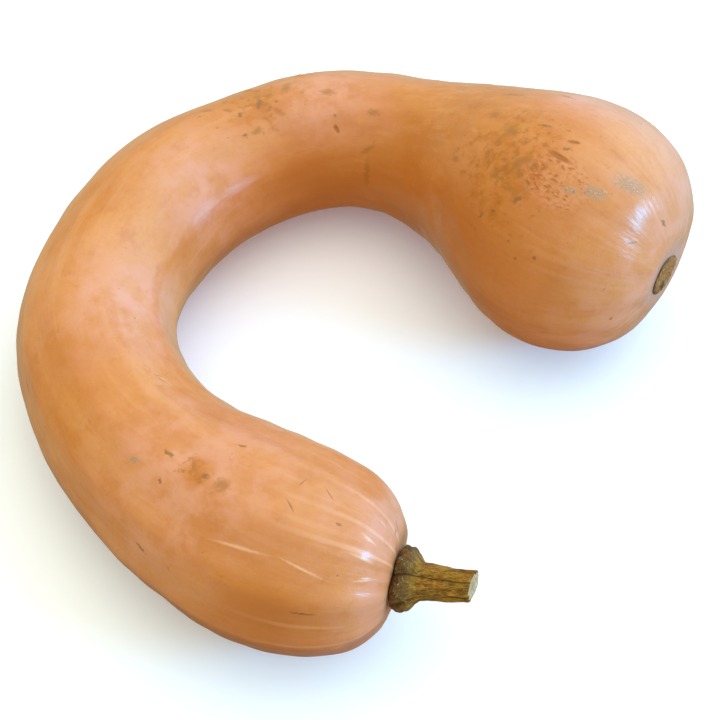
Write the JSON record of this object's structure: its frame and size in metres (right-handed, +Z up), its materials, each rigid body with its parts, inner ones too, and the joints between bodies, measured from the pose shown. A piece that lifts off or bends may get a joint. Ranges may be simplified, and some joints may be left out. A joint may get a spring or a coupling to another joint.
{
  "type": "winter squash",
  "caption": "Long-necked winter squash curled into a C, lying on its side, with a rounded bulb, a corky blossom scar and a short ribbed woody stem.",
  "frame": {"origin": "on the ground, under the middle of the box of the squash as it lies", "axes": "+Z up from the ground it lies on; +X towards the open mouth of the C, where the stem and the bulb point; +Y towards the neck, at the back"},
  "size_m": [0.4108, 0.4142, 0.1522],
  "materials": {
    "rind": "smooth waxy tan-orange rind with a satin sheen, pale streaks along the ribs, and brown and grey corky marks",
    "woody_stem": "dry fibrous olive-brown stem with furrows, dull, with a pale cream cut end",
    "cork": "dull tan-brown cork with darker cracks"
  },
  "bodies": {
    "root": {"fruit": "rind", "stem": "woody_stem", "blossom_scar": "cork"}
  },
  "joints": []
}
